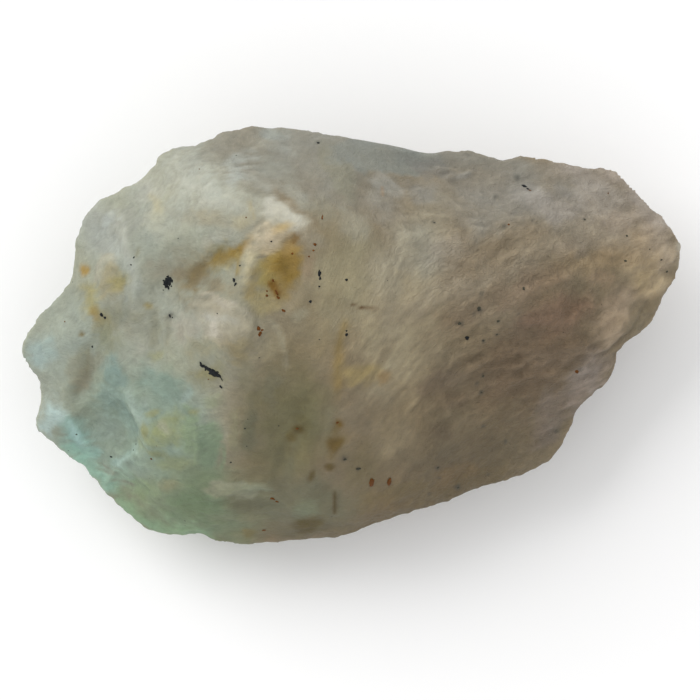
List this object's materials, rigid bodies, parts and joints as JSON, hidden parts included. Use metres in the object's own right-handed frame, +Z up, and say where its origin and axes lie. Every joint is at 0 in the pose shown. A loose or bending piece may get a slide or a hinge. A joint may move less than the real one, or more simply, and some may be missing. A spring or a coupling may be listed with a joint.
{
  "type": "rough opal specimen",
  "caption": "Single lump of rough milky opal, broken on every side, domed above and resting on its flattest fracture.",
  "frame": {"origin": "on the resting face, under the middle of the stone's outline", "axes": "+X along the stone towards its thin end, +Y across it, +Z up from the resting face"},
  "size_m": [0.045, 0.0286, 0.02],
  "materials": {
    "milky_opal": "milky, waxy and translucent, snow white to blue-green on the left, warm grey-tan on the right"
  },
  "bodies": {
    "root": {"opal": "milky_opal"}
  },
  "joints": []
}
